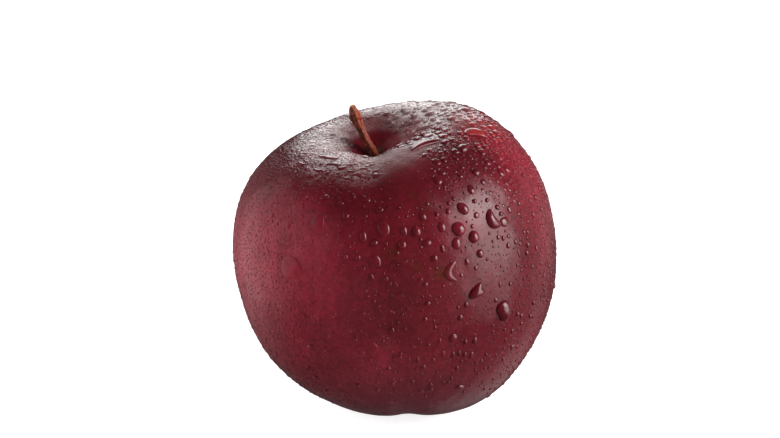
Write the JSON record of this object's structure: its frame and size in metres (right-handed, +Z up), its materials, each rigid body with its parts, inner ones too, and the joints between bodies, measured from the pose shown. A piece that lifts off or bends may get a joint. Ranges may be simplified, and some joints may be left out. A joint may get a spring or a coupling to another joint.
{
  "type": "plum",
  "caption": "Ripe dark red plum with a suture, a hollow round its short bent stalk and beads of water on the skin, resting on a small flat spot.",
  "frame": {"origin": "middle of the small flat spot that the fruit rests on", "axes": "+Z up from the surface that it rests on; -Y out of the side with the suture, which is the front; the fruit leans towards -X by 7.4 degrees"},
  "size_m": [0.066, 0.0639, 0.0643],
  "materials": {
    "skin": "waxy dark red skin, satin, with a faint bloom",
    "stalk": "dry brown, ridged",
    "water": "clear water"
  },
  "bodies": {
    "root": {"fruit": "skin", "stalk": "stalk"}
  },
  "joints": []
}
